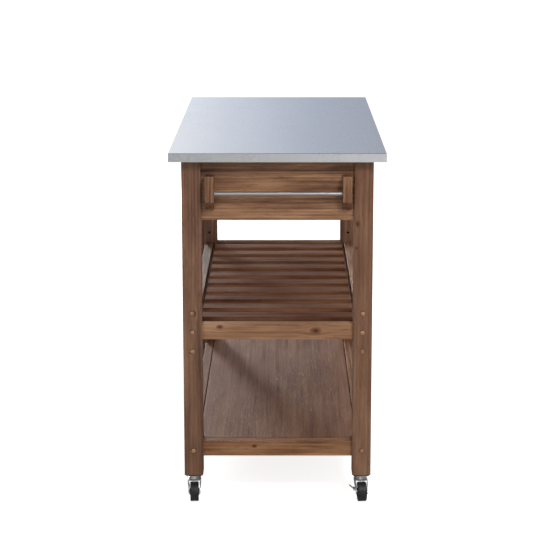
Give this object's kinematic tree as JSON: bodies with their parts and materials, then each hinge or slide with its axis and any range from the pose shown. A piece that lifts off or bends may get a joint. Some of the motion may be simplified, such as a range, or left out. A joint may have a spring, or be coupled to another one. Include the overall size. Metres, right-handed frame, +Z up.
{
  "type": "kitchen island cart",
  "caption": "Rolling kitchen island cart with a folded steel top, a towel bar on one end, flush drawers, a slatted shelf, a panel shelf and swivel casters.",
  "frame": {"origin": "on the floor, under the centre of the top", "axes": "+Z up, Y along the cart with the towel bar at -Y, +X towards the drawer fronts"},
  "size_m": [0.54, 1.1176, 0.9144],
  "materials": {
    "brushed_wood": "wire-brushed, medium brown, satin",
    "hidden_wood": "sawn, unfinished",
    "drawer_wood": "clear lacquer, satin",
    "core_board": "raw fibre board",
    "stainless_top": "brushed lengthways",
    "rod_steel": "satin",
    "bronze_hardware": "dark bronze, satin",
    "zinc_hardware": "bright zinc",
    "black_wheel": "moulded, matte"
  },
  "bodies": {
    "frame": {"apron_bar_end": "brushed_wood", "apron_left": "brushed_wood", "apron_plain_end": "brushed_wood", "barrel_nuts": "zinc_hardware", "caster_stems": "zinc_hardware", "connector_bolts": "bronze_hardware", "corner_blocks": "hidden_wood", "dowels": "hidden_wood", "drawer_rails": "brushed_wood", "drawer_runners": "drawer_wood", "drawer_stile": "brushed_wood", "hole_caps": "bronze_hardware", "leg_bar_left": "brushed_wood", "leg_bar_right": "brushed_wood", "leg_plain_left": "brushed_wood", "leg_plain_right": "brushed_wood", "low_panel": "brushed_wood", "low_rail_bar_end": "brushed_wood", "low_rail_left": "brushed_wood", "low_rail_plain_end": "brushed_wood", "low_rail_right": "brushed_wood", "mid_rail_bar_end": "brushed_wood", "mid_rail_left": "brushed_wood", "mid_rail_plain_end": "brushed_wood", "mid_rail_right": "brushed_wood", "shelf_cleats": "hidden_wood", "slat_01": "brushed_wood", "slat_02": "brushed_wood", "slat_03": "brushed_wood", "slat_04": "brushed_wood", "slat_05": "brushed_wood", "slat_06": "brushed_wood", "slat_07": "brushed_wood", "slat_08": "brushed_wood", "slat_09": "brushed_wood", "slat_10": "brushed_wood", "top_core": "core_board", "top_sheet": "stainless_top", "towel_post_left": "brushed_wood", "towel_post_right": "brushed_wood", "towel_rod": "rod_steel", "wood_screws": "zinc_hardware"},
    "caster_bar_left": {"caster_fork_bar_left": "zinc_hardware", "caster_axle_bar_left": "zinc_hardware"},
    "wheel_bar_left": {"caster_wheel_bar_left": "black_wheel"},
    "caster_bar_right": {"caster_fork_bar_right": "zinc_hardware", "caster_axle_bar_right": "zinc_hardware"},
    "wheel_bar_right": {"caster_wheel_bar_right": "black_wheel"},
    "brake_bar_right": {"brake_lever_bar_right": "zinc_hardware"},
    "caster_plain_left": {"caster_fork_plain_left": "zinc_hardware", "caster_axle_plain_left": "zinc_hardware"},
    "wheel_plain_left": {"caster_wheel_plain_left": "black_wheel"},
    "caster_plain_right": {"caster_fork_plain_right": "zinc_hardware", "caster_axle_plain_right": "zinc_hardware"},
    "wheel_plain_right": {"caster_wheel_plain_right": "black_wheel"},
    "brake_plain_right": {"brake_lever_plain_right": "zinc_hardware"},
    "drawer_bar": {"drawer_bar_front": "brushed_wood", "drawer_bar_box": "drawer_wood"},
    "drawer_plain": {"drawer_plain_front": "brushed_wood", "drawer_plain_box": "drawer_wood"}
  },
  "joints": [
    {"name": "swivel_bar_left", "type": "hinge", "parent": "frame", "child": "caster_bar_left", "pos_m": [-0.216, -0.5048, 0.055], "axis": [0, 0, 1], "continuous": true},
    {"name": "roll_bar_left", "type": "hinge", "parent": "caster_bar_left", "child": "wheel_bar_left", "pos_m": [-0.21485, -0.52677, 0.025], "axis": [0.9986, 0.0523, 0], "continuous": true},
    {"name": "swivel_bar_right", "type": "hinge", "parent": "frame", "child": "caster_bar_right", "pos_m": [0.216, -0.5048, 0.055], "axis": [0, 0, 1], "continuous": true},
    {"name": "roll_bar_right", "type": "hinge", "parent": "caster_bar_right", "child": "wheel_bar_right", "pos_m": [0.21792, -0.52672, 0.025], "axis": [0.9962, 0.0872, 0], "continuous": true},
    {"name": "brake_bar_right", "type": "hinge", "parent": "caster_bar_right", "child": "brake_bar_right", "pos_m": [0.1974, -0.52851, 0.033], "axis": [-0.0872, 0.9962, 0], "range_deg": [-30, 0]},
    {"name": "swivel_plain_left", "type": "hinge", "parent": "frame", "child": "caster_plain_left", "pos_m": [-0.216, 0.5048, 0.055], "axis": [0, 0, 1], "continuous": true},
    {"name": "roll_plain_left", "type": "hinge", "parent": "caster_plain_left", "child": "wheel_plain_left", "pos_m": [-0.2183, 0.48292, 0.025], "axis": [0.9945, -0.1045, 0], "continuous": true},
    {"name": "swivel_plain_right", "type": "hinge", "parent": "frame", "child": "caster_plain_right", "pos_m": [0.216, 0.5048, 0.055], "axis": [0, 0, 1], "continuous": true},
    {"name": "roll_plain_right", "type": "hinge", "parent": "caster_plain_right", "child": "wheel_plain_right", "pos_m": [0.21677, 0.48281, 0.025], "axis": [0.9994, 0.0349, 0], "continuous": true},
    {"name": "brake_plain_right", "type": "hinge", "parent": "caster_plain_right", "child": "brake_plain_right", "pos_m": [0.19618, 0.48209, 0.033], "axis": [-0.0349, 0.9994, 0], "range_deg": [-30, 0]},
    {"name": "drawer_bar_slide", "type": "slide", "parent": "frame", "child": "drawer_bar", "axis": [1, 0, 0], "range_m": [0, 0.28]},
    {"name": "drawer_plain_slide", "type": "slide", "parent": "frame", "child": "drawer_plain", "axis": [1, 0, 0], "range_m": [0, 0.28]}
  ]
}
